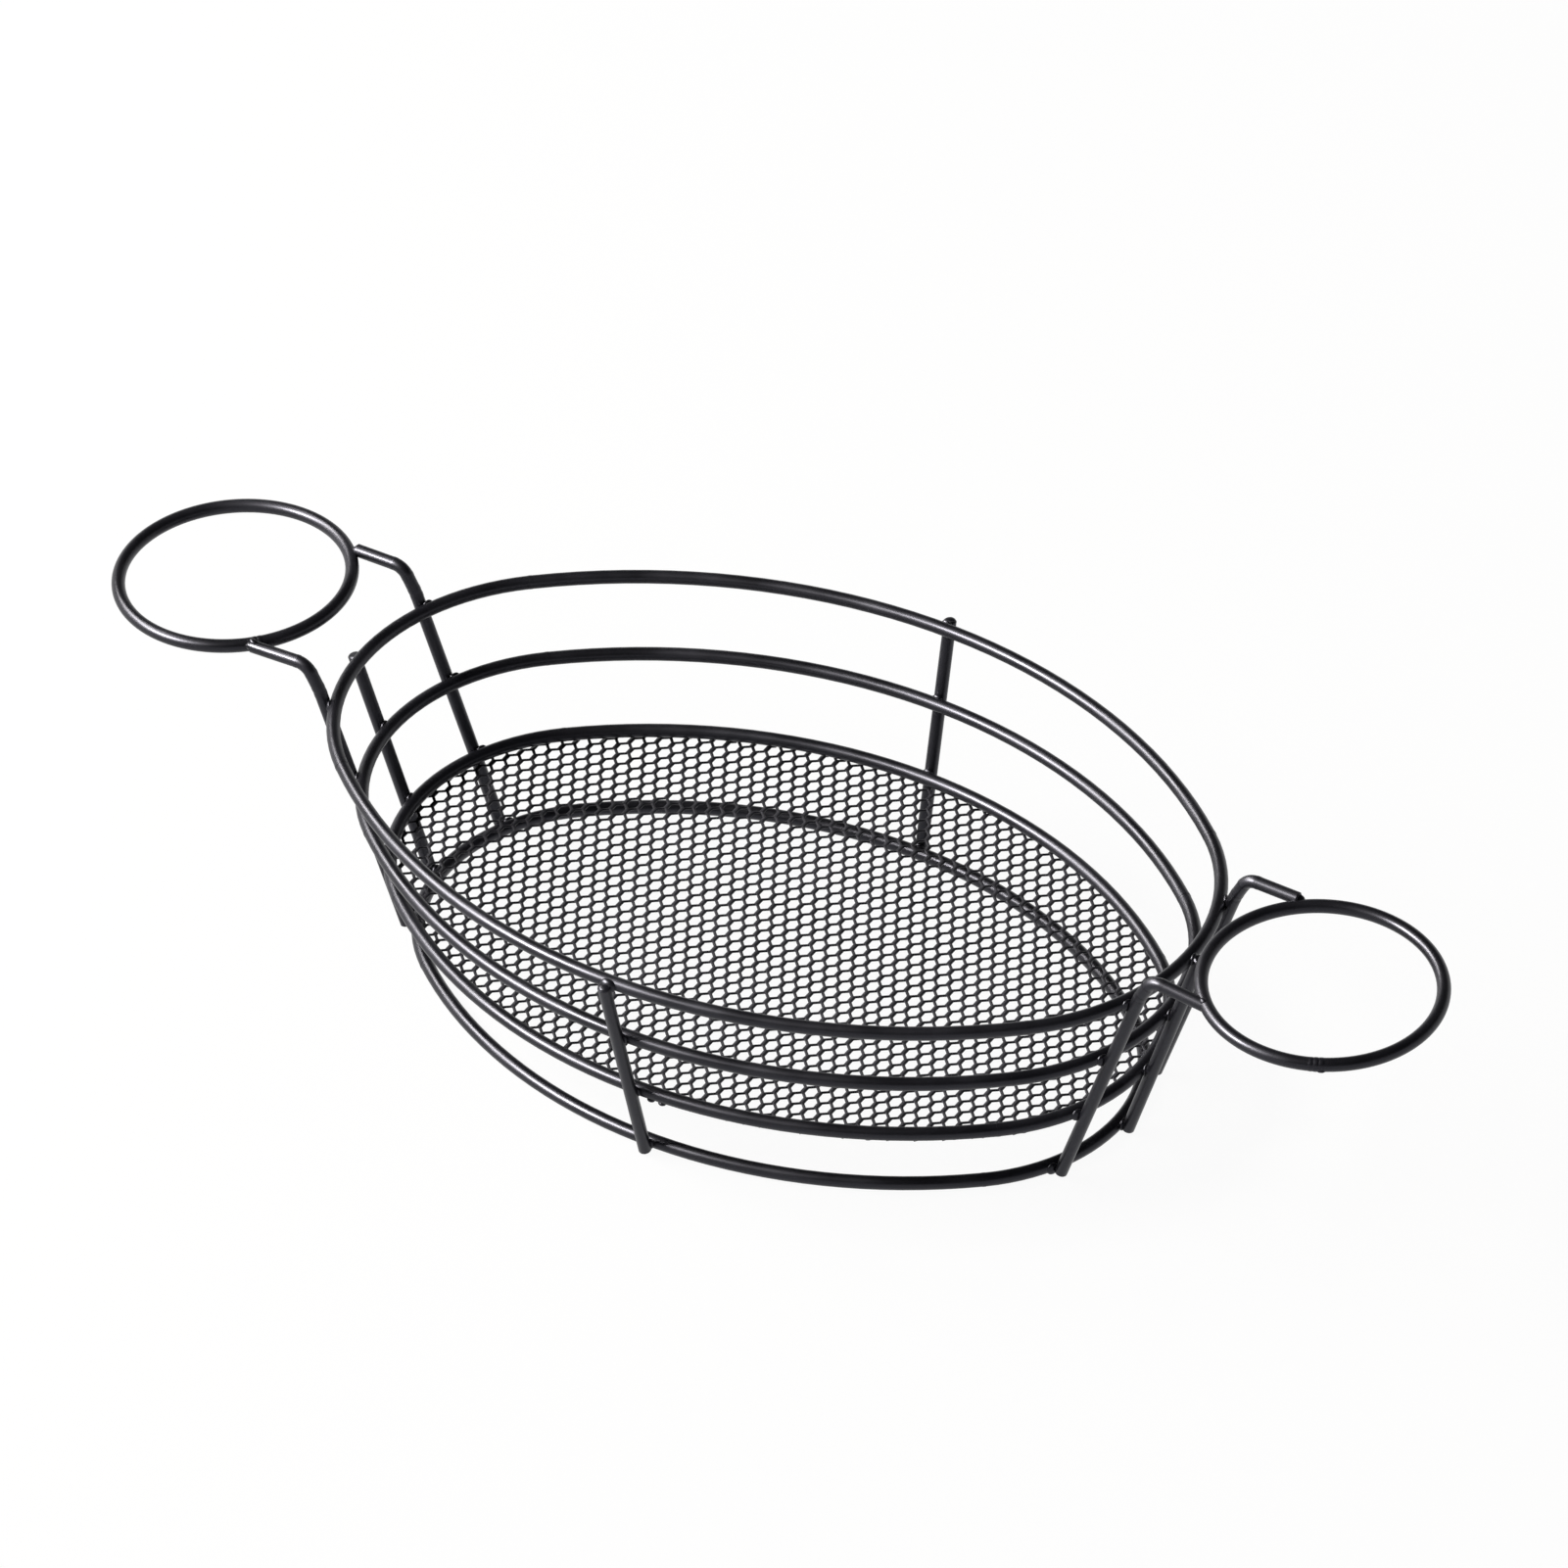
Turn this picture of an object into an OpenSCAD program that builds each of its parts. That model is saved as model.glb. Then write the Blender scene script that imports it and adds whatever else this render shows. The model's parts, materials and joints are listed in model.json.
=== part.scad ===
// Oval wire serving basket with an expanded mesh floor and a sauce cup ring beyond each end.
// The origin is on the table under the middle of the basket. +X runs along the basket, +Z is up.
// Four ovals of wire are stacked one above the other and get shorter and narrower towards the table.
// Eight wires stand on their outside and hold them together. The four nearest the ends rise past
// the rim, bend outwards and carry the cup rings.

/* [Ovals] */
// Length of the rim oval between wire centres
rim_length = 273.4; // [250:0.2:300]
// Width of the rim oval between wire centres
rim_width = 183; // [170:0.5:200]
// How much shorter each oval is than the one above it
length_taper = 15.7; // [8:0.1:20]
// How much narrower each oval is than the one above it
width_taper = 11.6; // [6:0.1:16]
// Height from one oval to the next
level_rise = 23.4; // [18:0.1:30]
// Radius of the rounded ends as a part of the oval's half width
end_roundness = 0.71; // [0.64:0.01:0.78]

/* [Wire] */
// Diameter of the wire of the ovals
oval_wire_d = 4; // [3:0.1:5]
// Diameter of the wire of the uprights and arms
upright_wire_d = 3.8; // [3:0.1:4.6]
// Diameter of the wire of the cup rings
cup_wire_d = 4; // [3:0.1:5]
// Depth that crossing wires are pressed into each other at a weld
weld_sink = 0.5; // [0.3:0.05:0.6]
// Chamfer that the coating rounds on a cut wire end
end_chamfer = 0.4; // [0.2:0.05:0.6]

/* [Uprights] */
// Height of an upright's top end above the centre of the rim wire
upright_over = 0.9; // [0.4:0.1:3]
// The same for the left end upright, which ends at the rim's lower half
left_upright_over = -0.8; // [-1:0.1:3]
// Height of the feet above the table
foot_gap = 0.3; // [0.1:0.1:1]
// Place of the front upright along the side, from the middle
front_upright_shift = 3.8; // [-8:0.2:8]
// Place of the left end upright across the tip, from the middle
left_upright_shift = -3.8; // [-8:0.2:8]

/* [Arms and cup rings] */
// Distance between the two arms of one end
arm_spread = 52; // [44:0.5:56]
// Place of the left pair of arms across the basket, from the middle
left_arms_shift = -1.5; // [-3:0.1:3]
// Height of the arm's top bend above the centre of the rim wire
arm_rise = 11.6; // [9:0.2:20]
// Lean of the arm above the rim, from upright, in degrees
arm_flare = 28; // [22:0.5:36]
// Height above the rim wire's centre at which the arm starts to lean out further
knee_height = 3.9; // [3.6:0.1:5]
// Bend radius of the knee, at the wire's centre
knee_bend_r = 14; // [10:1:16]
// Bend radius of the top bend, at the wire's centre
top_bend_r = 5; // [3:0.2:7]
// Inner diameter of a cup ring
cup_hole_d = 63.5; // [58:0.5:72]
// Height of the middle of the cup rings above the centre of the rim wire
cup_rise = 9; // [7:0.1:16]
// Angle by which the cup rings hang down outwards, in degrees
cup_droop = 2.4; // [0:0.1:4]
// Place of the cup rings across the basket, from the middle
cup_shift = -0.8; // [-3:0.1:3]
// Free gap between the rim wire and the left cup ring, seen from above
left_cup_gap = 8; // [5:0.1:14]
// Free gap between the rim wire and the right cup ring, seen from above
right_cup_gap = 6.1; // [5:0.1:14]
// Height of a rear arm's end above the cup ring's wire centre
rear_lap_rise = 1.3; // [0:0.1:1.6]
// The same for the left front arm
left_front_lap_rise = 0.7; // [-0.6:0.1:1.6]
// The same for the right front arm, which is welded to the side of its ring
right_front_lap_rise = -0.3; // [-0.6:0.1:1.6]
// Distance along the basket at which an arm's end stops before the ring wire's centre line
arm_stop = 2.8; // [0:0.1:3]
// The same for the right front arm
right_front_stop = 0.5; // [0:0.1:3]

/* [Mesh floor] */
// Thickness of the mesh sheet
mesh_t = 1; // [0.8:0.1:1.6]
// How far the sheet reaches outwards past the floor wire's centre
mesh_lap = 0.4; // [0:0.1:0.6]
// Distance of the mesh openings along the basket
mesh_short_way = 16.4; // [16:0.2:24]
// Distance of the mesh openings across the basket, in one column
mesh_long_way = 26.6; // [26:0.2:40]
// Width of the bond between two openings beside each other
bond_w = 3.4; // [2.4:0.2:5]
// Length of that bond
bond_l = 7; // [5:0.5:9]
// Width of the slanting strands, measured along the column of openings
strand_w = 3.4; // [2.8:0.2:5]

/* [Hidden] */

wire_black = "#242326";
mesh_black = "#2b2a2d";

// Levels of the ovals, counted down from the rim
rim = 0;
middle = 1;
floor_level = 2;
base = 3;
levels = [rim, middle, floor_level, base];

// Signs of the sides, and the angle of half a turn
right_side = 1;
left_side = -1;
rear_side = 1;
front_side = -1;
half_turn = 180;
quarter_turn = 90;

oval_wire_r = oval_wire_d / 2;
upright_wire_r = upright_wire_d / 2;
cup_wire_r = cup_wire_d / 2;
cup_r = cup_hole_d / 2 + cup_wire_r;

// A collar is this long and stands this far out of the wire, and the stretches that it joins end
// this far from its middle
collar_l = 1;
collar_over = 0.05;
collar_inside = 0.1;

// Facets of round sections and of long curves, and straight cuts on each arc of the sheet's edge
section_facets = 32;
curve_facets = 144;
outline_steps = 28;

// An oval has four arcs: a small one round each end and a large one along each side
function level_z(i) = oval_wire_r + collar_over + (base - i) * level_rise;
function half_length(i) = (rim_length - i * length_taper) / 2;
function half_width(i) = (rim_width - i * width_taper) / 2;
function end_r(i) = end_roundness * half_width(i);
function end_x(i) = half_length(i) - end_r(i);
function side_r(i) = (half_length(i) ^ 2 + half_width(i) ^ 2 - 2 * half_length(i) * end_r(i))
    / (2 * (half_width(i) - end_r(i)));
function side_y(i) = side_r(i) - half_width(i);
// Angle from the long axis at which the end arc runs into the side arc
function meet_a(i) = atan2(side_y(i), end_x(i));
// Distance of a point inside the oval of level i, measured to the oval's line
function inset(i, x, y) = atan2(abs(y), abs(x) - end_x(i)) < meet_a(i)
    ? end_r(i) - norm([abs(x) - end_x(i), y])
    : side_r(i) - norm([x, abs(y) + side_y(i)]);

// Distance between wire centres where an upright is welded to an oval
weld_distance = oval_wire_r + upright_wire_r - weld_sink;
// The same distance measured along X or Y, for a wire that leans and an oval that turns away
function stand_off(lean, turn) = weld_distance * sqrt(1 - (sin(lean) * sin(turn)) ^ 2)
    / (cos(lean) * cos(turn));

rim_z = level_z(rim);
base_z = level_z(base);
wall_h = rim_z - base_z;
end_lean = atan((half_length(rim) - half_length(base)) / wall_h);
side_lean = atan((half_width(rim) - half_width(base)) / wall_h);

// Place of an arm across the basket, and at that y along it, beside the end arc of each oval
function arm_y(side, row) = row * arm_spread / 2 + (side == left_side ? left_arms_shift : 0);
function arc_x(i, y) = end_x(i) + sqrt(end_r(i) ^ 2 - y ^ 2);
function arc_turn(i, y) = asin(y / end_r(i));
function arm_lean(y) = atan((arc_x(rim, y) - arc_x(base, y)) / wall_h);
function arm_x(i, y) = arc_x(i, y) + stand_off(arm_lean(y), arc_turn(i, y));
function arm_slope(y) = (arm_x(rim, y) - arm_x(base, y)) / wall_h;

// Height of the wire's centre at its foot, so that its lowest corner is clear of the table
function foot_z(lean) = foot_gap + upright_wire_r * sin(lean);

knee_z = rim_z + knee_height;
function knee_x(y) = arm_x(rim, y) + arm_slope(y) * knee_height;
top_z = rim_z + arm_rise;
function top_x(y) = knee_x(y) + (top_z - knee_z) * tan(arm_flare);

// Middle of a cup ring, and how far inwards from it an arm at y meets the line of the ring's wire
cup_z = rim_z + cup_rise;
function cup_gap(side) = side == left_side ? left_cup_gap : right_cup_gap;
function cup_x(side) = half_length(rim) + oval_wire_r + cup_gap(side) + cup_wire_r + cup_r;
function cup_reach(y) = sqrt(cup_r ^ 2 - (y - cup_shift) ^ 2);

// The sheet touches the collars of the floor wire, which stand a hair lower than the wire
mesh_top_z = level_z(floor_level) - oval_wire_r - collar_over;
mesh_bottom_z = mesh_top_z - mesh_t;
// Openings keep this far inside the floor wire's line, so that the sheet has a whole edge
mesh_edge = oval_wire_r + mesh_lap;

// A stretch of round wire bent round the Z axis. Both its ends stop inside a collar.
module wire_arc(bend_r, wire_r, from, turn) {
    inside = collar_inside / bend_r * half_turn / PI;
    rotate([0, 0, from + inside])
        rotate_extrude(angle = turn - 2 * inside, $fn = curve_facets)
            translate([bend_r, 0])
                circle(r = wire_r, $fn = section_facets);
}

// A short length hardly thicker than the wire, where two stretches that head along an angle meet
module collar(wire_r, along) {
    rotate([0, quarter_turn, along])
        cylinder(h = collar_l, r = wire_r + collar_over, center = true, $fn = section_facets);
}

module oval_end(i, side) {
    translate([side * end_x(i), 0, level_z(i)])
        wire_arc(end_r(i), oval_wire_r, (side > 0 ? 0 : half_turn) - meet_a(i), 2 * meet_a(i));
}

module oval_side(i, side) {
    translate([0, -side * side_y(i), level_z(i)])
        wire_arc(side_r(i), oval_wire_r, side > 0 ? meet_a(i) : half_turn + meet_a(i),
            half_turn - 2 * meet_a(i));
}

module oval_wire(i) {
    for (side = [left_side, right_side]) oval_end(i, side);
    for (side = [front_side, rear_side]) oval_side(i, side);
    for (x = [left_side, right_side], y = [front_side, rear_side])
        translate([x * (end_x(i) + end_r(i) * cos(meet_a(i))), y * end_r(i) * sin(meet_a(i)),
            level_z(i)])
            collar(oval_wire_r, x * y * (meet_a(i) - quarter_turn));
}

module oval(i) {
    color(wire_black) oval_wire(i);
}

// Heading of the path's stretch that starts at point k
function heading(path, k) = atan2(path[k + 1][1] - path[k][1], path[k + 1][0] - path[k][0]);
function turn_at(path, k) = heading(path, k) - heading(path, k - 1);
// Length of a stretch that the bend at point k takes up
function bend_cut(path, radii, k) = k == 0 || k == len(path) - 1 ? 0
    : radii[k] * tan(abs(turn_at(path, k)) / 2);

// Round wire along points in the XY plane, with a bend of its own radius at each inner point
module bent_wire(path, radii, wire_r) {
    for (k = [0 : len(path) - 2]) {
        start = bend_cut(path, radii, k);
        length = norm(path[k + 1] - path[k]) - start - bend_cut(path, radii, k + 1);
        translate([path[k][0], path[k][1], 0])
            rotate([0, 0, heading(path, k)])
                translate([start, 0, 0])
                    rotate([0, quarter_turn, 0])
                        path_rod(k, len(path) - 2, length, wire_r);
    }
    for (k = [1 : len(path) - 2]) {
        side = sign(turn_at(path, k));
        before = heading(path, k - 1);
        cut = bend_cut(path, radii, k);
        from = [path[k][0] - cut * cos(before), path[k][1] - cut * sin(before)];
        translate([from[0] - side * radii[k] * sin(before), from[1] + side * radii[k] * cos(before), 0])
            wire_arc(radii[k], wire_r,
                before + (side > 0 ? -quarter_turn : quarter_turn + turn_at(path, k)),
                abs(turn_at(path, k)));
        for (end = [-1, 1]) {
            along = heading(path, end < 0 ? k - 1 : k);
            translate([path[k][0] + end * cut * cos(along), path[k][1] + end * cut * sin(along), 0])
                collar(wire_r, along);
        }
    }
}

// Straight stretch number k of a bent wire: its free ends are whole, the others stop inside a collar
module path_rod(k, last, length, wire_r) {
    low = k == 0 ? 0 : collar_inside;
    high = k == last ? 0 : collar_inside;
    translate([0, 0, low])
        chamfered_rod(length - low - high, wire_r, k == 0 ? end_chamfer : 0,
            k == last ? end_chamfer : 0);
}

// Straight rod along Z, with a chamfer at its lower and its upper end
module chamfered_rod(length, wire_r, low, high) {
    if (low > 0) cylinder(h = low, r1 = wire_r - low, r2 = wire_r, $fn = section_facets);
    translate([0, 0, low])
        cylinder(h = length - low - high, r = wire_r, $fn = section_facets);
    if (high > 0)
        translate([0, 0, length - high])
            cylinder(h = high, r1 = wire_r, r2 = wire_r - high, $fn = section_facets);
}

// A straight upright that leans outwards in the XZ plane, from its foot to a height over the rim
module leaning_rod(lean, rim_place, over) {
    low = foot_z(lean);
    length = (rim_z + over - low) / cos(lean);
    translate([rim_place - (rim_z - low) * tan(lean), 0, low])
        rotate([0, lean, 0])
            chamfered_rod(length, upright_wire_r, end_chamfer, end_chamfer);
}

module end_upright(side, shift, over) {
    color(wire_black)
        difference() {
            translate([0, shift, 0])
                mirror([side > 0 ? 0 : 1, 0, 0])
                    leaning_rod(end_lean, half_length(rim) + stand_off(end_lean, 0), over);
            for (i = levels) oval_end(i, side);
        }
}

module side_upright(side, shift) {
    color(wire_black)
        difference() {
            translate([shift, 0, 0])
                rotate([0, 0, side * quarter_turn])
                    leaning_rod(side_lean, half_width(rim) + stand_off(side_lean, 0), upright_over);
            for (i = levels) oval_side(i, side);
        }
}

// A cup ring stands beyond the end of the basket and hangs down a little on its far side
module cup_ring_wire(side) {
    translate([side * cup_x(side), cup_shift, cup_z])
        rotate([0, side * cup_droop, 0])
            rotate_extrude($fn = curve_facets)
                translate([cup_r, 0])
                    circle(r = cup_wire_r, $fn = section_facets);
}

module cup_ring(side) {
    color(wire_black) cup_ring_wire(side);
}

// An arm stands on the ovals like an upright, then bends out and ends on the wire of the cup ring
module arm(side, row, lap_rise, stop) {
    y = arm_y(side, row);
    low = foot_z(arm_lean(y));
    reach = cup_reach(y);
    path = [[arm_x(base, y) - arm_slope(y) * (base_z - low), low], [knee_x(y), knee_z],
        [top_x(y), top_z],
        [cup_x(side) - reach - stop, cup_z + (reach + stop) * sin(cup_droop) + lap_rise]];
    radii = [0, knee_bend_r, top_bend_r, 0];
    color(wire_black)
        difference() {
            translate([0, y, 0])
                mirror([side > 0 ? 0 : 1, 0, 0])
                    rotate([90, 0, 0])
                        bent_wire(path, radii, upright_wire_r);
            for (i = levels) oval_end(i, side);
            cup_ring_wire(side);
        }
}

// Points on an arc, without its last one, and on a whole oval at a distance outside its line
function arc_points(centre, r, from, to) = [for (k = [0 : outline_steps - 1])
    let (a = from + (to - from) * k / outline_steps) centre + r * [cos(a), sin(a)]];
function oval_outline(i, out) = concat(
    arc_points([end_x(i), 0], end_r(i) + out, -meet_a(i), meet_a(i)),
    arc_points([0, -side_y(i)], side_r(i) + out, meet_a(i), half_turn - meet_a(i)),
    arc_points([-end_x(i), 0], end_r(i) + out, half_turn - meet_a(i), half_turn + meet_a(i)),
    arc_points([0, side_y(i)], side_r(i) + out, half_turn + meet_a(i), 2 * half_turn - meet_a(i)));

// One opening of the expanded sheet: straight beside the bonds, pointed between the strands
opening_w = (mesh_short_way - bond_w) / 2;
opening_tip = (mesh_long_way - bond_l - strand_w) / 2;
opening_points = [[opening_w, bond_l / 2], [0, opening_tip], [-opening_w, bond_l / 2],
    [-opening_w, -bond_l / 2], [0, -opening_tip], [opening_w, -bond_l / 2]];

module mesh_openings(h) {
    columns = ceil(half_length(floor_level) / mesh_short_way) + 1;
    rows = ceil(half_width(floor_level) / mesh_long_way * 2) + 1;
    for (row = [-rows : rows], column = [-columns : columns]) {
        x = (column + (row % 2 == 0 ? 0 : 0.5)) * mesh_short_way;
        y = row * mesh_long_way / 2;
        if (min([for (p = opening_points) inset(floor_level, x + p[0], y + p[1])]) > mesh_edge)
            translate([x, y, 0])
                linear_extrude(height = h)
                    polygon(opening_points);
    }
}

// The sheet lies under the floor wire. Its openings are drawn larger than the real ones, and those
// that would reach the border that is welded to the wire are left out.
module mesh_floor() {
    color(mesh_black)
        difference() {
            translate([0, 0, mesh_bottom_z])
                linear_extrude(height = mesh_t)
                    polygon(oval_outline(floor_level, mesh_lap));
            translate([0, 0, mesh_bottom_z - mesh_t]) mesh_openings(3 * mesh_t);
        }
}

oval(rim);  // rim_ring
oval(middle);  // middle_ring
oval(floor_level);  // floor_ring
oval(base);  // base_ring
mesh_floor();
side_upright(front_side, front_upright_shift);  // front_upright
side_upright(rear_side, 0);  // rear_upright
end_upright(left_side, left_upright_shift, left_upright_over);  // left_end_upright
end_upright(right_side, 0, upright_over);  // right_end_upright
arm(left_side, rear_side, rear_lap_rise, arm_stop);  // left_rear_arm
arm(left_side, front_side, left_front_lap_rise, arm_stop);  // left_front_arm
arm(right_side, rear_side, rear_lap_rise, arm_stop);  // right_rear_arm
arm(right_side, front_side, right_front_lap_rise, right_front_stop);  // right_front_arm
cup_ring(left_side);  // left_cup_ring
cup_ring(right_side);  // right_cup_ring
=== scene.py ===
# %% [markdown]
# # An oval wire basket with a mesh floor and two sauce cup rings
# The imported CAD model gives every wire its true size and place. This file adds what the eye wants
# on top of it: the fine expanded mesh, the small fillets at the welds, the black coating, the light
# and the camera. All lengths are in metres, and the origin is on the table under the basket.

# %% Load the basket
import json
import math
import bmesh
import bpy
from mathutils import Matrix, Vector

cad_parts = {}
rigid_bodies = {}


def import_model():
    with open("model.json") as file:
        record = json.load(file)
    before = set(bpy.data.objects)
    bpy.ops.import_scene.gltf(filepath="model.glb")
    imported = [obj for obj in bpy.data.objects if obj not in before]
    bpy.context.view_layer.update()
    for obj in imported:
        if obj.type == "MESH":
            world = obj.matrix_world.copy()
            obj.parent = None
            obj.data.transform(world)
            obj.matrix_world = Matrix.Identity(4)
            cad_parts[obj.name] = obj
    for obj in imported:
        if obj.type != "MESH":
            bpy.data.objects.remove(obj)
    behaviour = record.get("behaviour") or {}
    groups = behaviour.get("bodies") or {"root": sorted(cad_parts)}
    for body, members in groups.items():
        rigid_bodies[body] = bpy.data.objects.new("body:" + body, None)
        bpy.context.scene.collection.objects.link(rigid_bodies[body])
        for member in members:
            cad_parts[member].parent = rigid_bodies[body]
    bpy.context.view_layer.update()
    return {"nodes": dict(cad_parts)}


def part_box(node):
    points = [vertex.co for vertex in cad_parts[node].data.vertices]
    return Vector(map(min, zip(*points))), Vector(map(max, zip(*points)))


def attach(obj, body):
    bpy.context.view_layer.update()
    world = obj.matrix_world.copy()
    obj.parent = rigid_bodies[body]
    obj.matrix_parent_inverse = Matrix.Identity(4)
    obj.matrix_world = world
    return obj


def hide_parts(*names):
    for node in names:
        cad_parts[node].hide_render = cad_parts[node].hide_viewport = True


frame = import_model()
mm = 0.001

print("CAD nodes:", ", ".join(sorted(frame["nodes"])))

# %% [markdown]
# ## The ovals, read back from the frame
# The mesh and the welds follow the four wire ovals, so their sizes are measured on the CAD nodes.
# A wire oval is built from four arcs: a small one round each end and a large one along each side,
# which run into each other without a corner. Half its length, half its width and the share of the
# end radius say all about it.

# %% Measure the ovals
WIRE_R = 2.0 * mm
WELD_SINK = 0.5 * mm
END_ROUNDNESS = 0.71
OVALS = ("rim_ring", "middle_ring", "floor_ring", "base_ring")


def measure_oval(name):
    low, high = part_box(name)
    half_length = (high[0] - low[0]) / 2 - WIRE_R
    half_width = (high[1] - low[1]) / 2 - WIRE_R
    end_r = END_ROUNDNESS * half_width
    side_r = (half_length ** 2 + half_width ** 2 - 2 * half_length * end_r) / (2 * (half_width - end_r))
    oval = {"end_x": half_length - end_r, "end_r": end_r, "side_y": side_r - half_width, "side_r": side_r,
            "z": (high[2] + low[2]) / 2}
    oval["meet"] = math.atan2(oval["side_y"], oval["end_x"])
    return oval


ovals = [measure_oval(name) for name in OVALS]
floor_oval = ovals[OVALS.index("floor_ring")]
for name, oval in zip(OVALS, ovals):
    print(name, {key: round(value / mm, 2) for key, value in oval.items() if key != "meet"})

# %% [markdown]
# ## Working by hand in edit mode
# Blender's operators act on whatever is selected, so each step starts with nothing selected. These
# helpers do what a mouse would: pick an object, pick corners by their place, and apply what is set.

# %% Selection helpers


def start_clean():
    bpy.ops.object.select_all(action="DESELECT")


def pick(obj):
    start_clean()
    obj.select_set(True)
    bpy.context.view_layer.objects.active = obj


def select_where(obj, test):
    """Selects the corners of obj whose place passes the test, and the edges and faces between them."""
    bpy.ops.object.mode_set(mode="OBJECT")
    for face in obj.data.polygons:
        face.select = False
    for edge in obj.data.edges:
        edge.select = False
    for corner in obj.data.vertices:
        corner.select = test(corner.co)
    bpy.ops.object.mode_set(mode="EDIT")
    bpy.ops.mesh.select_mode(type="VERT")


def apply_modifiers(obj):
    for modifier in list(obj.modifiers):
        bpy.ops.object.modifier_apply(modifier=modifier.name)


def apply_place(obj):
    pick(obj)
    bpy.ops.object.transform_apply(location=True, rotation=True, scale=True)


def triangles(obj):
    return sum(len(face.vertices) - 2 for face in obj.data.polygons)


# %% [markdown]
# ## One bond and two strands of expanded metal
# Expanded metal starts as a thin sheet. A press cuts rows of short slits and pulls the sheet open,
# so each slit becomes a six-sided hole. What stays between two holes beside each other is a bond,
# and what runs slanting from bond to bond is a strand. The pull also tips the metal a little. The
# spacing of the holes is called the short way and the long way of the mesh.
# A circle of six corners makes a good bond: it is stretched to size and tipped, and then its two
# upper edges are extruded to make the strands. They end exactly where the next bonds begin.

# %% Model the repeating piece
SHORT_WAY = 4.55 * mm
LONG_WAY = 8.16 * mm
BOND_W = 1.6 * mm
BOND_L = 2.3 * mm
STRAND_RISE = 0.74 * mm
SHEET_T = 0.6 * mm
TIP = 0.28 * mm

start_clean()
bpy.ops.mesh.primitive_circle_add(vertices=6, radius=1, fill_type="NGON")
mesh_floor = bpy.context.object
mesh_floor.name = "expanded_mesh"
bond_tip = BOND_L / 2 + STRAND_RISE / 2
for corner in mesh_floor.data.vertices:
    side = 0 if abs(corner.co.x) < 0.1 else math.copysign(1, corner.co.x)
    end = math.copysign(1, corner.co.y)
    corner.co = (side * BOND_W / 2, end * (BOND_L / 2 if side else bond_tip), side * TIP)

strand = Vector(((SHORT_WAY - BOND_W) / 2, LONG_WAY / 2 - bond_tip - BOND_L / 2, 0))
for side in (1, -1):
    select_where(mesh_floor, lambda place: side * place.x > -0.01 * mm and 0 < place.y < bond_tip * 1.01)
    bpy.ops.mesh.extrude_edges_move(
        TRANSFORM_OT_translate={"value": (side * strand.x, strand.y, -side * TIP)})
    bpy.ops.object.mode_set(mode="OBJECT")
print("the repeating piece has", len(mesh_floor.data.polygons), "faces")

# %% [markdown]
# ## Repeat it into a sheet
# Three Array modifiers make the sheet: one along the short way, one that adds a second row half a
# step aside, and one that repeats the pair of rows. Each merges the corners that meet, so the sheet
# is one net. On the real basket the net lies very slightly askew in its oval, here by one degree.

# %% Make the net
ASKEW = math.radians(1.0)
MERGE = 0.02 * mm
columns = 2 * math.ceil((floor_oval["end_x"] + floor_oval["end_r"]) / SHORT_WAY) + 4
row_pairs = 2 * math.ceil((floor_oval["side_r"] - floor_oval["side_y"]) / LONG_WAY) + 2


def add_array(obj, count, step):
    array = obj.modifiers.new("array", "ARRAY")
    array.use_relative_offset = False
    array.use_constant_offset = True
    array.count = count
    array.constant_offset_displace = step
    array.use_merge_vertices = True
    array.merge_threshold = MERGE


pick(mesh_floor)
add_array(mesh_floor, columns, (SHORT_WAY, 0, 0))
add_array(mesh_floor, 2, (SHORT_WAY / 2, LONG_WAY / 2, 0))
add_array(mesh_floor, row_pairs, (0, LONG_WAY, 0))
apply_modifiers(mesh_floor)
bpy.ops.object.mode_set(mode="EDIT")
bpy.ops.mesh.select_all(action="SELECT")
bpy.ops.mesh.remove_doubles(threshold=MERGE)
bpy.ops.object.mode_set(mode="OBJECT")
mesh_floor.location = (-(columns - 0.5) * SHORT_WAY / 2, -(row_pairs - 0.5) * LONG_WAY / 2, 0)
apply_place(mesh_floor)
mesh_floor.rotation_euler.z = ASKEW
apply_place(mesh_floor)
print("the net has", columns, "columns and", 2 * row_pairs, "rows")

# %% [markdown]
# ## Cut the oval blank
# The press cuts the blank a little smaller than the outside of the wire oval it hangs under. A flat
# net is cut most cleanly with many straight cuts, each along the oval's edge, as with shears. Bits
# that the cuts leave loose, or hanging by a single point, fall off, as they do in the workshop. So
# corners where two bits only touch are parted, and what isn't linked to the middle is deleted.

# %% Shear the net to the oval
EDGE_OUT = -0.2 * mm
SNIP = 0.25 * mm
END_STEPS = 20
SIDE_STEPS = 30


def oval_edge(oval, out):
    """Points on a line outside the oval, each with the direction that points away from it."""
    points = []
    for sign in (1, -1):
        for step in range(END_STEPS):
            angle = oval["meet"] * (2 * (step + 0.5) / END_STEPS - 1)
            away = Vector((sign * math.cos(angle), math.sin(angle), 0))
            points.append((Vector((sign * oval["end_x"], 0, 0)) + away * (oval["end_r"] + out), away))
        for step in range(SIDE_STEPS):
            angle = oval["meet"] + (math.pi - 2 * oval["meet"]) * (step + 0.5) / SIDE_STEPS
            away = Vector((math.cos(angle), sign * math.sin(angle), 0))
            points.append((Vector((0, -sign * oval["side_y"], 0)) + away * (oval["side_r"] + out), away))
    return points


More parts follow.
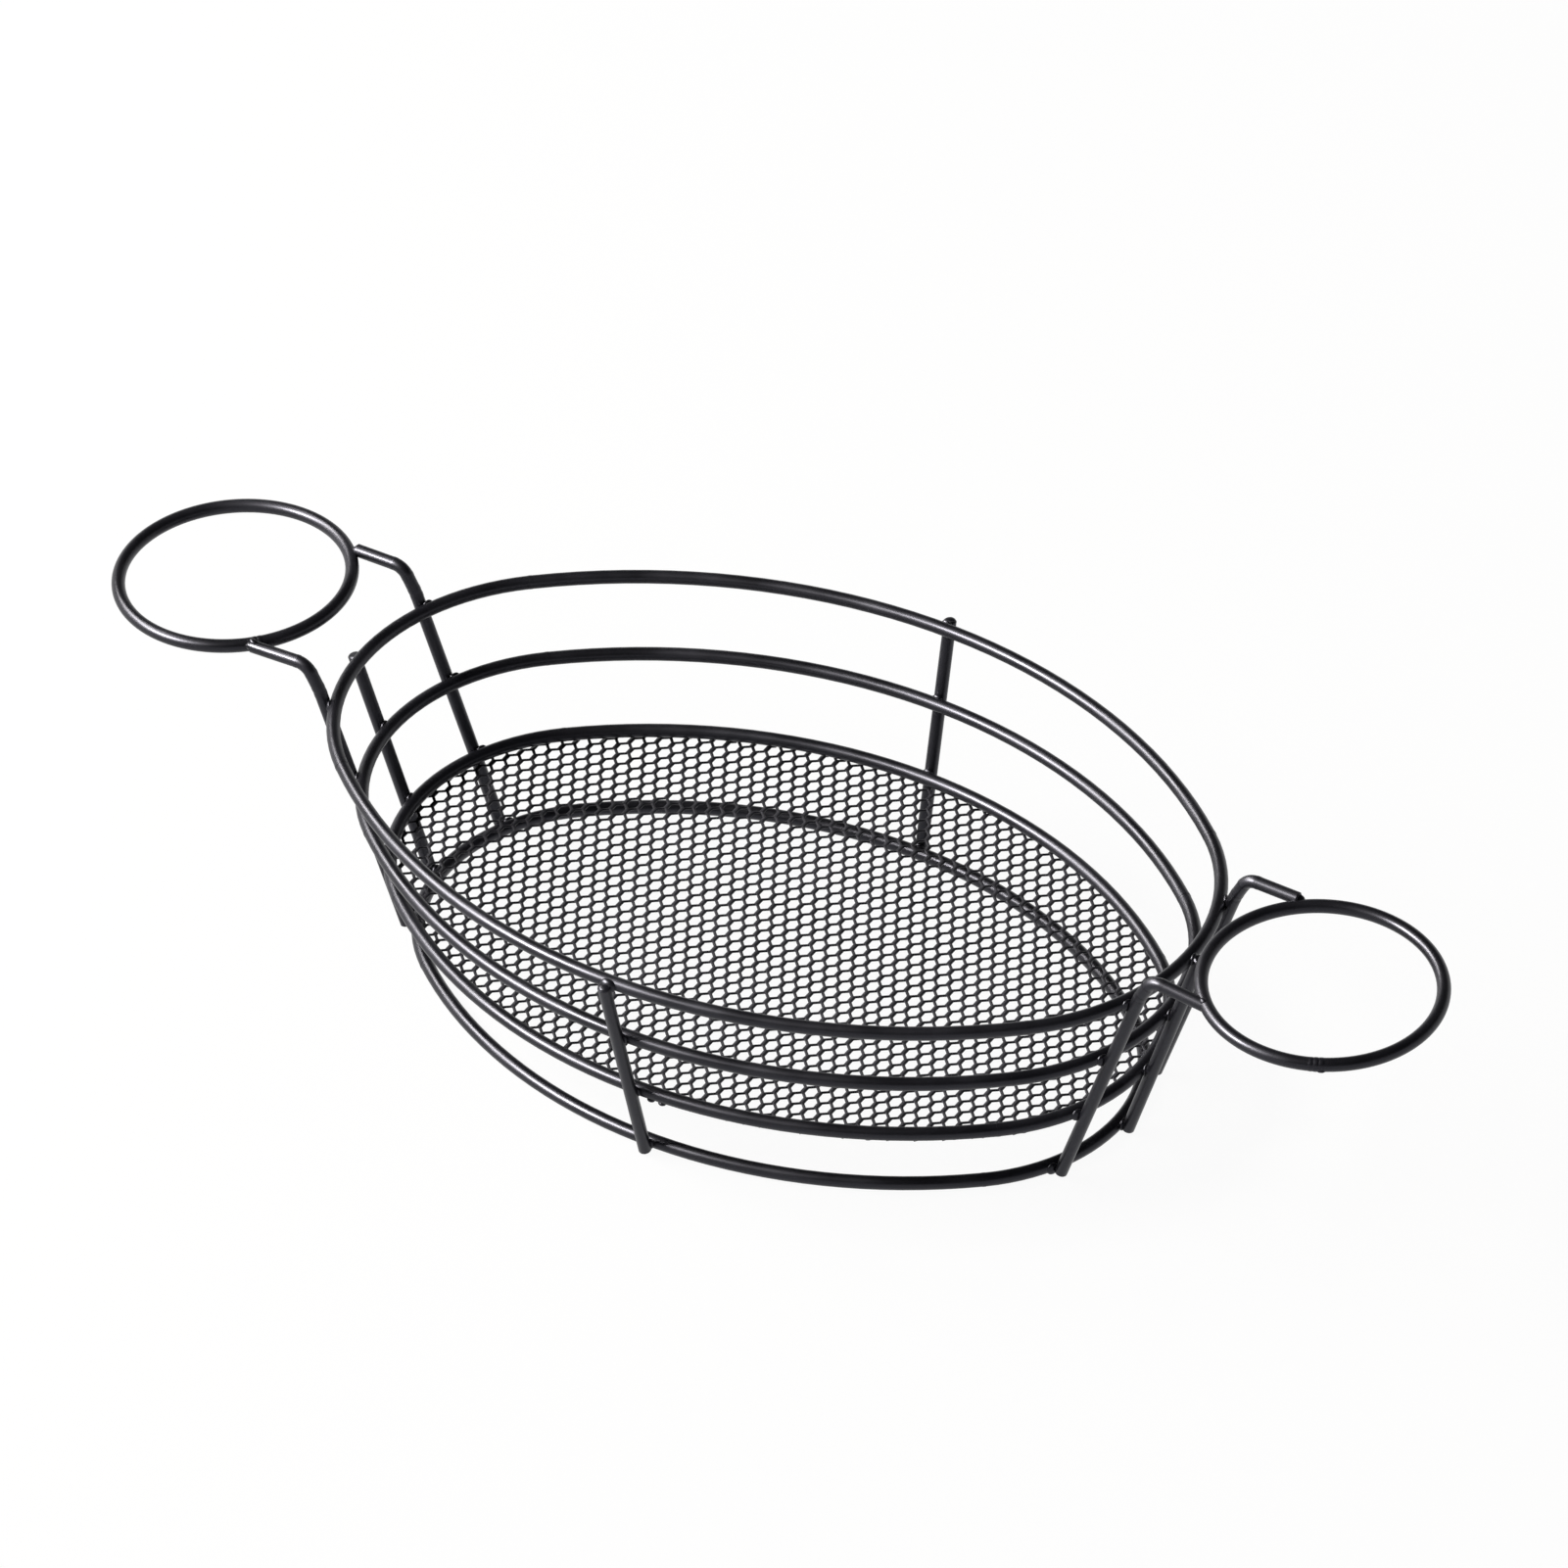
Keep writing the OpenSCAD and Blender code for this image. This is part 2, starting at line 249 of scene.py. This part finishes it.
pick(mesh_floor)
bpy.ops.object.mode_set(mode="EDIT")
for point, away in oval_edge(floor_oval, EDGE_OUT):
    bpy.ops.mesh.select_all(action="SELECT")
    bpy.ops.mesh.bisect(plane_co=point, plane_no=away, clear_outer=True)
bpy.ops.mesh.select_all(action="SELECT")
bpy.ops.mesh.remove_doubles(threshold=SNIP)
bpy.ops.mesh.dissolve_degenerate(threshold=SNIP)
bpy.ops.object.mode_set(mode="OBJECT")
net = bmesh.new()
net.from_mesh(mesh_floor.data)
for corner in list(net.verts):
    bmesh.utils.vert_separate(corner, [])
net.to_mesh(mesh_floor.data)
net.free()
middle = min(mesh_floor.data.vertices, key=lambda corner: corner.co.length).index
for corner in mesh_floor.data.vertices:
    corner.select = corner.index == middle
bpy.ops.object.mode_set(mode="EDIT")
bpy.ops.mesh.select_mode(type="VERT")
bpy.ops.mesh.select_linked()
bpy.ops.mesh.select_all(action="INVERT")
bpy.ops.mesh.delete(type="VERT")
bpy.ops.object.mode_set(mode="OBJECT")
print("after the cuts the net has", len(mesh_floor.data.polygons), "faces")

# %% [markdown]
# ## Give the sheet its thickness and its coating
# The coated sheet is 0.6 millimetres thick. Solidify gives it that, and Bevel rounds its edges as
# the coating does, because paint runs thin over a sharp edge and thick beside it. The finished mesh
# then stands for the coarse floor of the CAD model and is fixed under the floor wire.

# %% Finish the mesh floor
COAT_ROUND = 0.1 * mm
SHEET_SINK = 0.1 * mm
SHARP = math.radians(50)

solidify = mesh_floor.modifiers.new("thickness", "SOLIDIFY")
solidify.thickness = SHEET_T
solidify.offset = 0
bevel = mesh_floor.modifiers.new("coating", "BEVEL")
bevel.width = COAT_ROUND
bevel.segments = 1
bevel.limit_method = "ANGLE"
bevel.angle_limit = SHARP
bevel.use_clamp_overlap = False
pick(mesh_floor)
apply_modifiers(mesh_floor)
mesh_floor.location.z = floor_oval["z"] - WIRE_R + SHEET_SINK - TIP - SHEET_T / 2
apply_place(mesh_floor)
bpy.ops.object.shade_smooth_by_angle(angle=SHARP)
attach(mesh_floor, "root")
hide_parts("mesh_floor")
print("the mesh floor has", triangles(mesh_floor), "triangles")

# %% [markdown]
# ## The welds
# Where an upright crosses an oval the two wires were pressed together and spot welded, and the
# coating then ran into the gap round the weld. What shows is a small fillet in the corners of each
# crossing. All the welds start from one ball of metal, which is pulled long, wide or flat in the
# three directions of its own place. Their sizes are half the length along the wire, away from it, and
# across both, in millimetres.

# %% Tools for welds
UP = Vector((0, 0, 1))

start_clean()
bpy.ops.mesh.primitive_uv_sphere_add(segments=20, ring_count=12, radius=1)
ball = bpy.context.object
welds = []


def add_weld(place, along, away, size):
    """A ball of the given size at a place, with its first direction along and its second away."""
    along = along.normalized()
    across = along.cross(away).normalized()
    away = across.cross(along)
    copy = ball.copy()
    copy.data = ball.data.copy()
    bpy.context.collection.objects.link(copy)
    turn = Matrix((along, away, across)).transposed().to_4x4()
    copy.matrix_world = Matrix.Translation(place) @ turn @ Matrix.Diagonal((*(s * mm for s in size), 1))
    welds.append(copy)


def crossing(oval, x, y, on_end):
    """Place on the oval beside x, y, and the direction there that points away from the basket."""
    if on_end:
        sign = math.copysign(1, x)
        away = Vector((sign * math.sqrt(oval["end_r"] ** 2 - y ** 2), y, 0)) / oval["end_r"]
        return Vector((sign * oval["end_x"], 0, oval["z"])) + away * oval["end_r"], away
    sign = math.copysign(1, y)
    away = Vector((x, sign * math.sqrt(oval["side_r"] ** 2 - x ** 2), 0)) / oval["side_r"]
    return Vector((0, -sign * oval["side_y"], oval["z"])) + away * oval["side_r"], away


# %% Fillets where uprights and arms cross the ovals
FILLET = (1.9, 0.9, 1.9)
SIDE_UPRIGHTS = ("front_upright", "rear_upright")
END_UPRIGHTS = ("left_end_upright", "right_end_upright")
ARMS = ("left_rear_arm", "left_front_arm", "right_rear_arm", "right_front_arm")


def middle_of(name):
    low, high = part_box(name)
    return (Vector(low) + Vector(high)) / 2


for oval in ovals:
    for name in SIDE_UPRIGHTS + END_UPRIGHTS + ARMS:
        if oval is ovals[0] and name == "left_end_upright":
            continue
        beside = middle_of(name)
        place, away = crossing(oval, beside.x, beside.y, name not in SIDE_UPRIGHTS)
        add_weld(place + away * (WIRE_R - WELD_SINK / 2), UP.cross(away), away, FILLET)
print("fillets:", len(welds))

# %% [markdown]
# The top ends of the uprights were melted a little when they were welded to the rim, so each has a
# low dome. The weld of the front one runs over the rim. The left end upright stops at the rim's lower
# half, where no dome or fillet shows.

# %% Domes on the uprights
DOME_RISE = 0.75
DOME_SINK = 0.35 * mm
DOME_INSIDE = 0.1
RIM_WELD = (2.6, 1.5, 2.15)
RIM_WELD_IN = 1.6 * mm
upright_r = (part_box("front_upright")[1][0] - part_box("front_upright")[0][0]) / 2
dome_r = upright_r / mm - DOME_INSIDE
stand_off = WIRE_R + upright_r - WELD_SINK

for name in SIDE_UPRIGHTS + ("right_end_upright",):
    beside = middle_of(name)
    ends = []
    for oval in (ovals[0], ovals[-1]):
        place, away = crossing(oval, beside.x, beside.y, name in END_UPRIGHTS)
        ends.append(place + away * stand_off)
    line = (ends[0] - ends[1]).normalized()
    top_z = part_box(name)[1][2] - upright_r * math.sqrt(1 - line.z ** 2)
    top = ends[0] + line * ((top_z - ends[0].z) / line.z)
    add_weld(top - line * DOME_SINK, away, line, (dome_r, DOME_RISE, dome_r))
    if name == "front_upright":
        add_weld(ends[0] - away * RIM_WELD_IN, UP.cross(away), away, RIM_WELD)
print("upright wire", round(2 * upright_r / mm, 2), "mm, its line off the ovals' by",
      round(stand_off / mm, 2), "mm")

# %% [markdown]
# ## The welds of the cup rings
# Each arm's cut end is welded to the side of its ring. At the left front arm the weld stands up in a
# short bright point. Each ring is a bent wire whose two ends meet in a butt weld, which shows as a
# low swelling with a nub on its outside. Beside the front upright two cut ends of the mesh stick out
# under the floor oval, thick with coating.

# %% Arm ends, points, butt welds and cut ends
JOINT_SIZE = (1.9, 1.2, 1.7)
JOINT_AT = 0.9
JOINT_DROP = 0.7 * mm
POINT_SIZE = (1.7, 0.7, 0.9)
POINT_SHIFT = Vector((1.3, 0, 0.9)) * mm
POINT_ALONG = Vector((-1, 0, 0.35))
SWELLINGS = ((-5, 2.05), (-2.5, 2.1), (0, 2.1))
SWELLING_L = 2.6
NUB_SIZE = (1.3, 0.75, 0.8)
NUB_OUT = 1.35 * mm
NUB_DROP = 0.9 * mm
CUT_END_X = (8.5 * mm, 12.0 * mm)
CUT_END_SIZE = (1.2, 0.8, 0.7)
CUT_END_OUT = 0.9 * mm
CUT_END_DROP = 1.9 * mm
NUB_ANGLES = {"left_cup_ring": 316, "right_cup_ring": 300}
rings = {}
for name in NUB_ANGLES:
    low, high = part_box(name)
    sign = math.copysign(1, low[0])
    wire_middle = (high[1] - low[1]) / 2 - WIRE_R
    droop = math.asin(((high[2] - low[2]) / 2 - WIRE_R) / wire_middle)
    rings[name] = {"middle": middle_of(name), "r": wire_middle, "sign": sign, "droop": droop}


def on_ring(ring, angle):
    """Place on the ring's wire at an angle in degrees from +X, and the direction away from its middle."""
    flat = Vector((math.cos(math.radians(angle)), math.sin(math.radians(angle)), 0))
    away = Matrix.Rotation(ring["sign"] * ring["droop"], 3, "Y") @ flat
    return ring["middle"] + away * ring["r"], away


for name in ARMS:
    side = name.split("_")[0]
    ring = rings[side + "_cup_ring"]
    low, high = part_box(name)
    end = Vector((low[0] if side == "left" else high[0], middle_of(name).y, high[2] - upright_r))
    spots = [on_ring(ring, angle) for angle in range(360)]
    place, away = min(spots, key=lambda spot: (spot[0] - end).length)
    add_weld(place.lerp(end, JOINT_AT) - UP * JOINT_DROP, end - place, UP, JOINT_SIZE)
    if name == "left_front_arm":
        add_weld(end + POINT_SHIFT, POINT_ALONG, UP, POINT_SIZE)

for name, angle in NUB_ANGLES.items():
    ring = rings[name]
    for step, size in SWELLINGS:
        place, away = on_ring(ring, angle + step)
        add_weld(place, away.cross(UP), away, (SWELLING_L, size, size))
    place, away = on_ring(ring, angle)
    add_weld(place + away * NUB_OUT - UP * NUB_DROP, away.cross(UP), away - UP, NUB_SIZE)
for x in CUT_END_X:
    place, away = crossing(floor_oval, x, -1, False)
    add_weld(place + away * CUT_END_OUT - UP * CUT_END_DROP, UP.cross(away), away, CUT_END_SIZE)
print("welds in all:", len(welds))

# %% [markdown]
# The welds are joined into one object. Weld metal isn't smooth, so a Displace modifier with a cloud
# texture makes every ball a little uneven, by a tenth of a millimetre.

# %% Join and roughen the welds
UNEVEN = 0.12 * mm
UNEVEN_SPACING = 1.1 * mm

bpy.data.objects.remove(ball)
start_clean()
for weld in welds:
    weld.select_set(True)
weld_metal = welds[0]
bpy.context.view_layer.objects.active = weld_metal
bpy.ops.object.join()
weld_metal.name = "weld_metal"
apply_place(weld_metal)
clouds = bpy.data.textures.new("weld unevenness", "CLOUDS")
clouds.noise_scale = UNEVEN_SPACING
uneven = weld_metal.modifiers.new("uneven", "DISPLACE")
uneven.texture = clouds
uneven.strength = UNEVEN
uneven.mid_level = 0.5
apply_modifiers(weld_metal)
bpy.ops.object.shade_smooth()
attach(weld_metal, "root")
print("the weld metal has", triangles(weld_metal), "triangles")

# %% [markdown]
# ## Colours and nodes
# Colours are written as the eye names them, in sRGB, and one function turns them into the linear
# values that Blender's shaders expect. Another adds a node, sets its values and links its inputs.

# %% Material helpers


def linear(text):
    """Linear RGBA of an sRGB colour written as six hex digits."""
    channels = [int(text[k:k + 2], 16) / 255 for k in (0, 2, 4)]
    return [c / 12.92 if c <= 0.04045 else ((c + 0.055) / 1.055) ** 2.4 for c in channels] + [1.0]


def add_node(tree, kind, links=None, **settings):
    """Adds a node. Settings are its properties, or its inputs by name, and links feed its inputs."""
    node = tree.nodes.new(kind)
    for key, value in settings.items():
        if hasattr(node, key):
            setattr(node, key, value)
        else:
            node.inputs[key.replace("_", " ")].default_value = value
    for key, source in (links or {}).items():
        tree.links.new(source, node.inputs[key])
    return node


def new_material(name):
    material = bpy.data.materials.new(name)
    material.use_nodes = True
    material.node_tree.nodes.clear()
    return material


# %% [markdown]
# ## Black coating on steel wire
# The basket was dipped or sprayed black after welding: a thin, hard, half-glossy skin. It is a
# dielectric, so its highlights are white and not metallic, and here a trace cooler than the lamps.
# Up close it has a fine orange peel with bumps about 1.5 mm apart, cloudy patches a few centimetres
# wide where it cured a little duller, and specks of dust under the skin.

# %% Coating of the wires
PEEL_SPACING = 1.5 * mm
CLOUD_SPACING = 18 * mm
SPECK_SPACING = 0.5 * mm
PEEL_STRENGTH = 0.06
GLOSS_TINT = "f0f0ff"
DARK_BELOW, LIGHT_ABOVE = 0.12, 0.42
GLOSSIEST_AT, DULLEST_AT = 0.3, 0.7
GLOSSIER, DULLER = 0.05, 0.07


def black_coating(name, dark, light, roughness, shine, peel_height):
    material = new_material(name)
    tree = material.node_tree
    place = add_node(tree, "ShaderNodeTexCoord").outputs["Object"]
    cloud = add_node(tree, "ShaderNodeTexNoise", {"Vector": place}, Scale=1 / CLOUD_SPACING, Detail=3.0)
    speck = add_node(tree, "ShaderNodeTexNoise", {"Vector": place}, Scale=1 / SPECK_SPACING, Detail=2.0)
    peel = add_node(tree, "ShaderNodeTexNoise", {"Vector": place}, Scale=1 / PEEL_SPACING, Detail=1.5)
    blend = add_node(tree, "ShaderNodeMath", {0: cloud.outputs["Fac"], 1: speck.outputs["Fac"]},
                     operation="MULTIPLY")
    colour = add_node(tree, "ShaderNodeValToRGB", {"Fac": blend.outputs["Value"]})
    colour.color_ramp.elements[0].position = DARK_BELOW
    colour.color_ramp.elements[0].color = linear(dark)
    colour.color_ramp.elements[1].position = LIGHT_ABOVE
    colour.color_ramp.elements[1].color = linear(light)
    gloss = add_node(tree, "ShaderNodeMapRange", {"Value": cloud.outputs["Fac"]},
                     From_Min=GLOSSIEST_AT, From_Max=DULLEST_AT,
                     To_Min=roughness - GLOSSIER, To_Max=roughness + DULLER)
    bump = add_node(tree, "ShaderNodeBump", {"Height": peel.outputs["Fac"]}, Strength=PEEL_STRENGTH,
                    Distance=peel_height)
    shader = add_node(tree, "ShaderNodeBsdfPrincipled",
                      {"Base Color": colour.outputs["Color"], "Roughness": gloss.outputs["Result"],
                       "Normal": bump.outputs["Normal"]}, IOR=1.5, Specular_IOR_Level=shine,
                      Specular_Tint=linear(GLOSS_TINT))
    add_node(tree, "ShaderNodeOutputMaterial", {"Surface": shader.outputs["BSDF"]})
    return material


wire_coating = black_coating("black coating on steel wire", dark="08080c", light="131319",
                             roughness=0.34, shine=0.36, peel_height=0.03 * mm)
mesh_coating = black_coating("black coating on expanded steel", dark="09090c", light="131319",
                             roughness=0.42, shine=0.24, peel_height=0.03 * mm)
weld_coating = black_coating("black coating over a weld", dark="09090d", light="13131a",
                             roughness=0.34, shine=0.32, peel_height=0.06 * mm)


def paint(obj, material):
    obj.data.materials.clear()
    obj.data.materials.append(material)


for name, obj in frame["nodes"].items():
    if name == "mesh_floor":
        continue
    for material_slot in obj.material_slots:
        material_slot.material = wire_coating
paint(mesh_floor, mesh_coating)
paint(weld_metal, weld_coating)
print("materials:", wire_coating.name + ",", mesh_coating.name + ",", weld_coating.name)

# %% [markdown]
# ## A white table
# The photograph has a pure white ground with hardly a shadow. The floor is a large white plane. To
# the camera it is mostly its own white, and a part of its lit shade is mixed in so that the soft
# contact shadow stays.

# %% Floor
FLOOR_SIZE = 6.0
SHADOW_SHARE = 0.055
TABLE_WHITE = "f4f4f4"

start_clean()
bpy.ops.mesh.primitive_plane_add(size=FLOOR_SIZE, location=(0, 0, 0))
table = bpy.context.object
table.name = "white_table"
white = new_material("matt white table")
tree = white.node_tree
lit = add_node(tree, "ShaderNodeBsdfDiffuse", Color=linear(TABLE_WHITE))
shown = add_node(tree, "ShaderNodeEmission", Color=(1, 1, 1, 1), Strength=1.0)
ray = add_node(tree, "ShaderNodeLightPath")
seen = ray.outputs["Is Camera Ray"]
for kind in ("Is Glossy Ray", "Is Transmission Ray"):
    either = add_node(tree, "ShaderNodeMath", {0: seen, 1: ray.outputs[kind]}, operation="MAXIMUM")
    seen = either.outputs["Value"]
share = add_node(tree, "ShaderNodeMath", {0: seen}, operation="MULTIPLY")
share.inputs[1].default_value = 1 - SHADOW_SHARE
mix = add_node(tree, "ShaderNodeMixShader", {0: share.outputs["Value"], 1: lit.outputs["BSDF"],
                                             2: shown.outputs["Emission"]})
add_node(tree, "ShaderNodeOutputMaterial", {"Surface": mix.outputs["Shader"]})
paint(table, white)
print("the table is", FLOOR_SIZE, "m wide")

# %% [markdown]
# ## Soft studio light
# The highlights tell where the lamps stood. A round wire shows a lamp along its middle when the lamp
# lies in the mirror direction, and here the wires that run to the lower right of the picture shine
# while those that run level in it stay black. The short level ends of the arms shine most. So the key
# light stands at the left end, as high as the camera, and lights everything at a plain level. Two more
# softboxes beside it give the shine its strength: a small one towards the front for the arms and a
# broad one for the ovals. They show only in the gloss of the coating and add no light to its colour.
# The room is pale near the floor and dark above, which keeps the wires black.

# %% World and lamps
PALE_UP_TO = 0.10
DARK_FROM = 0.40
CEILING = 0.05
LAMP_DISTANCE = 2.2
LAMP_ELEVATION = math.radians(38)
LAMP_COLOUR = (1.0, 0.97, 0.93)

scene = bpy.context.scene
world = bpy.data.worlds.new("studio with a dark ceiling")
world.use_nodes = True
tree = world.node_tree
tree.nodes.clear()
look = add_node(tree, "ShaderNodeTexCoord").outputs["Generated"]
height = add_node(tree, "ShaderNodeSeparateXYZ", {"Vector": look}).outputs["Z"]
fade = add_node(tree, "ShaderNodeMapRange", {"Value": height}, interpolation_type="SMOOTHSTEP",
                From_Min=PALE_UP_TO, From_Max=DARK_FROM, To_Min=1.0, To_Max=CEILING)
room = add_node(tree, "ShaderNodeBackground", {"Strength": fade.outputs["Result"]}, Color=(1, 1, 1, 1))
add_node(tree, "ShaderNodeOutputWorld", {"Surface": room.outputs["Background"]})
scene.world = world


def softbox(name, azimuth, width, height, power):
    """A rectangular lamp that looks at the basket. Its azimuth is in degrees, and 0 is +X."""
    lamp = bpy.data.lights.new(name, "AREA")
    lamp.shape = "RECTANGLE"
    lamp.size = width
    lamp.size_y = height
    lamp.energy = power
    lamp.color = LAMP_COLOUR
    obj = bpy.data.objects.new(name, lamp)
    bpy.context.collection.objects.link(obj)
    flat = math.cos(LAMP_ELEVATION)
    toward = Vector((flat * math.cos(math.radians(azimuth)), flat * math.sin(math.radians(azimuth)),
                     math.sin(LAMP_ELEVATION)))
    obj.location = toward * LAMP_DISTANCE
    obj.rotation_euler = (-toward).to_track_quat("-Z", "Y").to_euler()
    return obj


softbox("key softbox", azimuth=202, width=1.7, height=0.6, power=75)
for shine in (softbox("arm softbox", azimuth=224, width=0.6, height=0.6, power=180),
              softbox("oval softbox", azimuth=188, width=1.8, height=0.6, power=70)):
    shine.visible_diffuse = False

# %% [markdown]
# ## The camera
# The place and the lens of the camera come from a fit to the basket's ovals in the photograph. It
# looks down by 39 degrees from the front right, from over four metres away with a long lens, so the
# ovals hardly narrow towards the back.

# %% Camera
SENSOR = 36.0
PHOTO_PIXELS = 1601
FOCAL_PIXELS = 15378.5
ELEVATION = math.radians(38.72)
ROLL = math.radians(-1.5)
AZIMUTH = math.radians(-33.05)
DISTANCE = 4328.9 * mm
TARGET = Vector((-26.95, 46.83, 35.0)) * mm

forward = Vector((math.cos(ELEVATION) * math.sin(AZIMUTH), math.cos(ELEVATION) * math.cos(AZIMUTH),
                  -math.sin(ELEVATION)))
level_right = Vector((math.cos(AZIMUTH), -math.sin(AZIMUTH), 0))
level_up = level_right.cross(forward)
right = level_right * math.cos(ROLL) + level_up * math.sin(ROLL)
up = level_up * math.cos(ROLL) - level_right * math.sin(ROLL)
lens = bpy.data.cameras.new("camera")
lens.sensor_width = SENSOR
lens.lens = FOCAL_PIXELS / PHOTO_PIXELS * SENSOR
lens.clip_end = 50
camera = bpy.data.objects.new("camera", lens)
bpy.context.collection.objects.link(camera)
turn = Matrix((right, up, -forward)).transposed().to_4x4()
camera.matrix_world = Matrix.Translation(TARGET - forward * DISTANCE) @ turn
scene.camera = camera
scene.view_settings.view_transform = "Standard"
print("lens", round(lens.lens, 1), "mm, camera at", [round(v, 3) for v in camera.location])
